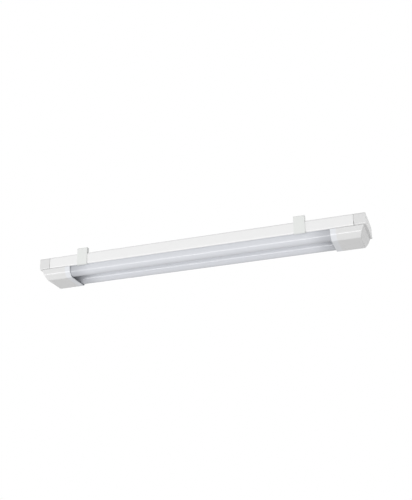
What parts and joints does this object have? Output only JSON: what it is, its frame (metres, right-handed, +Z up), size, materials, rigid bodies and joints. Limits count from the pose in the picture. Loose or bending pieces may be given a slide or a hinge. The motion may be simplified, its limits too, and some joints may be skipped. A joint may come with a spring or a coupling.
{
  "type": "ceiling batten light",
  "caption": "Slim white ceiling batten with twin opal LED diffusers, moulded end caps and sliding spring clips for screw mounting.",
  "frame": {"origin": "ceiling plane at the middle of the left clip, on the lamp's centre line", "axes": "+X along the lamp to its right end, +Y to its rear side, +Z up into the ceiling"},
  "size_m": [0.616, 0.0768, 0.0515],
  "materials": {
    "white_enamel": "powder-coated white",
    "white_plastic": "moulded satin white",
    "opal_diffuser": "opal satin",
    "plug_plastic": "moulded",
    "board": "white solder mask",
    "chip": "phosphor resin",
    "connector": "moulded",
    "case": "moulded",
    "circuit": "solder mask",
    "ferrite": "sintered",
    "can": "sleeved",
    "insulation": "fish paper",
    "zinc_steel": "zinc plated",
    "spring_steel": "white coated",
    "brass": "bright",
    "terminal_plastic": "moulded",
    "button_orange": "moulded",
    "button_green": "moulded",
    "rubber_grey": "moulded",
    "lead_brown": "extruded",
    "lead_blue": "extruded",
    "lead_green": "extruded",
    "lead_white": "extruded"
  },
  "bodies": {
    "left_clip": {"mounting_clip_left": "spring_steel"},
    "fixture": {"channel_body": "white_enamel", "gear_tray": "white_enamel", "front_diffuser": "opal_diffuser", "rear_diffuser": "opal_diffuser", "front_plug_left": "plug_plastic", "front_plug_right": "plug_plastic", "rear_plug_left": "plug_plastic", "rear_plug_right": "plug_plastic", "led_board_front": "board", "led_board_rear": "board", "led_chips_front": "chip", "led_chips_rear": "chip", "led_connector_front": "connector", "led_connector_rear": "connector", "insulation_sheet": "insulation", "driver_case": "case", "driver_lid": "case", "driver_board": "circuit", "driver_transformer": "ferrite", "driver_capacitors": "can", "driver_screws": "zinc_steel", "terminal_block": "terminal_plastic", "terminal_contacts": "brass", "earth_washer": "zinc_steel", "earth_screw": "zinc_steel", "cable_grommet": "rubber_grey", "cable_clamp": "plug_plastic", "cable_clamp_screws": "zinc_steel", "lead_line": "lead_brown", "lead_neutral": "lead_blue", "lead_earth": "lead_green", "strip_lead_front": "lead_white", "strip_lead_rear": "lead_white"},
    "right_clip": {"mounting_clip_right": "spring_steel"},
    "left_cap": {"end_cap_left": "white_plastic"},
    "right_cap": {"end_cap_right": "white_plastic"},
    "button_line": {"terminal_button_line": "button_orange"},
    "button_neutral": {"terminal_button_neutral": "button_orange"},
    "button_earth": {"terminal_button_earth": "button_green"}
  },
  "joints": [
    {"name": "fixture_slide", "type": "slide", "parent": "left_clip", "child": "fixture", "axis": [1, 0, 0], "range_m": [-0.0095, 0.014]},
    {"name": "right_clip_slide", "type": "slide", "parent": "fixture", "child": "right_clip", "axis": [1, 0, 0], "range_m": [-0.1, 0.04]},
    {"name": "left_cap_slide", "type": "slide", "parent": "fixture", "child": "left_cap", "axis": [-1, 0, 0], "range_m": [0, 0.04]},
    {"name": "right_cap_slide", "type": "slide", "parent": "fixture", "child": "right_cap", "axis": [1, 0, 0], "range_m": [0, 0.04]},
    {"name": "line_button_press", "type": "slide", "parent": "fixture", "child": "button_line", "axis": [0, 0, -1], "range_m": [0, 0.0015], "stiffness_N_per_m": 400, "springref_m": -0.001},
    {"name": "neutral_button_press", "type": "slide", "parent": "fixture", "child": "button_neutral", "axis": [0, 0, -1], "range_m": [0, 0.0015], "stiffness_N_per_m": 400, "springref_m": -0.001},
    {"name": "earth_button_press", "type": "slide", "parent": "fixture", "child": "button_earth", "axis": [0, 0, -1], "range_m": [0, 0.0015], "stiffness_N_per_m": 400, "springref_m": -0.001}
  ]
}
